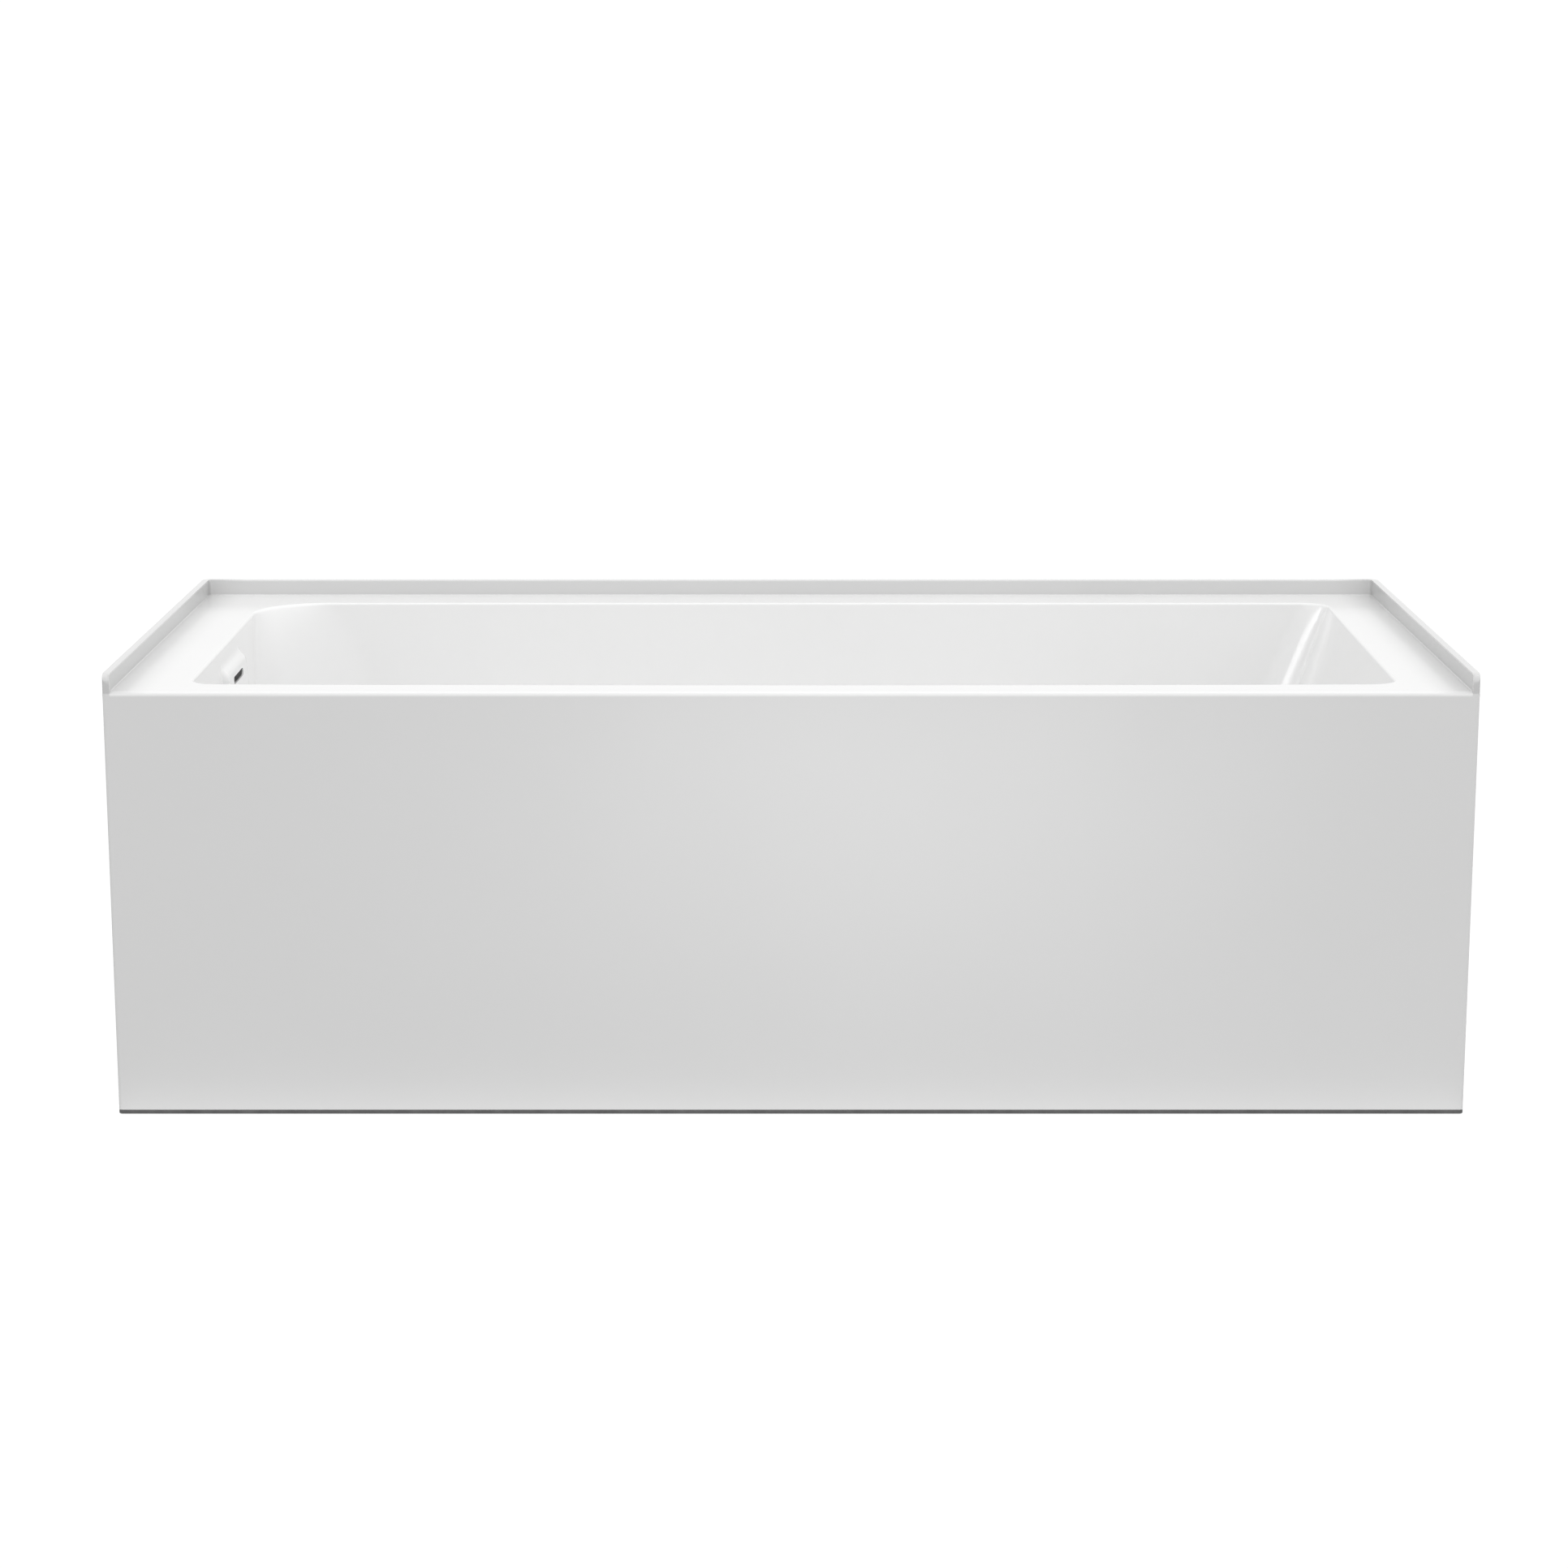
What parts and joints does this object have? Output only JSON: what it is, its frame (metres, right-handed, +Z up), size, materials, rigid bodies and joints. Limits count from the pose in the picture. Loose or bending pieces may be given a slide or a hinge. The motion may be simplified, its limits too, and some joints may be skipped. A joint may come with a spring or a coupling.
{
  "type": "alcove bathtub",
  "caption": "Rectangular alcove bathtub with integral flat apron, tile flange on the walled sides, sloped backrest, slotted overflow, pop-up drain, waste pipe and levelling feet.",
  "frame": {"origin": "on the floor at the centre of the footprint", "axes": "+X from the drain end to the backrest, -Y towards the apron side, +Z up"},
  "size_m": [1.524, 0.762, 0.503],
  "materials": {
    "white_acrylic": "high gloss",
    "glass_resin": "rough sprayed glass fibre",
    "dark_strip": "matt",
    "plywood": "raw",
    "galvanised": "galvanised",
    "zinc": "zinc plated",
    "black_rubber": "matt",
    "chrome": "polished",
    "brass": "turned",
    "white_pipe": "satin",
    "black_plastic": "satin"
  },
  "bodies": {
    "tub": {"tub_shell": "white_acrylic", "fibreglass_backing": "glass_resin", "apron_foot_strip": "dark_strip", "base_board": "plywood", "front_rim_board": "plywood", "back_rim_board": "plywood", "drain_end_rim_board": "plywood", "backrest_end_rim_board": "plywood", "apron_board": "plywood", "left_bearer": "galvanised", "right_bearer": "galvanised", "flange_seal": "black_rubber", "drain_body": "chrome", "drain_gasket": "black_rubber", "drain_shoe": "black_plastic", "waste_tee": "white_pipe", "waste_arm": "white_pipe", "tailpiece": "white_pipe", "overflow_pipe": "white_pipe", "overflow_housing": "black_plastic", "overflow_gasket": "black_rubber", "slip_nut_overflow_top": "white_pipe", "slip_nut_tee_top": "white_pipe", "slip_nut_tee_bottom": "white_pipe", "slip_nut_tee_branch": "white_pipe", "slip_nut_shoe": "white_pipe", "bearer_screw_front_left": "zinc", "foot_front_left_lock_nut": "zinc", "bearer_screw_back_left": "zinc", "foot_back_left_lock_nut": "zinc", "bearer_screw_front_right": "zinc", "foot_front_right_lock_nut": "zinc", "bearer_screw_back_right": "zinc", "foot_back_right_lock_nut": "zinc"},
    "stopper": {"stopper_cap": "chrome", "stopper_seal": "black_rubber", "stopper_stem": "brass"},
    "foot_front_left": {"foot_front_left_stud": "zinc", "foot_front_left_pad": "black_rubber"},
    "foot_front_left_nut": {"foot_front_left_adjusting_nut": "zinc"},
    "foot_back_left": {"foot_back_left_stud": "zinc", "foot_back_left_pad": "black_rubber"},
    "foot_back_left_nut": {"foot_back_left_adjusting_nut": "zinc"},
    "foot_front_right": {"foot_front_right_stud": "zinc", "foot_front_right_pad": "black_rubber"},
    "foot_front_right_nut": {"foot_front_right_adjusting_nut": "zinc"},
    "foot_back_right": {"foot_back_right_stud": "zinc", "foot_back_right_pad": "black_rubber"},
    "foot_back_right_nut": {"foot_back_right_adjusting_nut": "zinc"}
  },
  "joints": [
    {"name": "stopper_lift", "type": "slide", "parent": "tub", "child": "stopper", "axis": [0, 0, 1], "range_m": [0, 0.009]},
    {"name": "foot_front_left_nut_turn", "type": "hinge", "parent": "tub", "child": "foot_front_left_nut", "pos_m": [-0.4, -0.322, 0.0426], "axis": [0, 0, 1], "range_deg": [0, 4115]},
    {"name": "foot_front_left_travel", "type": "slide", "parent": "tub", "child": "foot_front_left", "axis": [0, 0, -1], "range_m": [0, 0.02]},
    {"name": "foot_back_left_nut_turn", "type": "hinge", "parent": "tub", "child": "foot_back_left_nut", "pos_m": [-0.4, 0.322, 0.0426], "axis": [0, 0, 1], "range_deg": [0, 4115]},
    {"name": "foot_back_left_travel", "type": "slide", "parent": "tub", "child": "foot_back_left", "axis": [0, 0, -1], "range_m": [0, 0.02]},
    {"name": "foot_front_right_nut_turn", "type": "hinge", "parent": "tub", "child": "foot_front_right_nut", "pos_m": [0.34, -0.322, 0.0426], "axis": [0, 0, 1], "range_deg": [0, 4115]},
    {"name": "foot_front_right_travel", "type": "slide", "parent": "tub", "child": "foot_front_right", "axis": [0, 0, -1], "range_m": [0, 0.02]},
    {"name": "foot_back_right_nut_turn", "type": "hinge", "parent": "tub", "child": "foot_back_right_nut", "pos_m": [0.34, 0.322, 0.0426], "axis": [0, 0, 1], "range_deg": [0, 4115]},
    {"name": "foot_back_right_travel", "type": "slide", "parent": "tub", "child": "foot_back_right", "axis": [0, 0, -1], "range_m": [0, 0.02]}
  ],
  "couplings": [
    {"joint": "foot_front_left_nut_turn", "follows": "foot_front_left_travel", "rad_per_m": 3590.4},
    {"joint": "foot_back_left_nut_turn", "follows": "foot_back_left_travel", "rad_per_m": 3590.4},
    {"joint": "foot_front_right_nut_turn", "follows": "foot_front_right_travel", "rad_per_m": 3590.4},
    {"joint": "foot_back_right_nut_turn", "follows": "foot_back_right_travel", "rad_per_m": 3590.4}
  ]
}
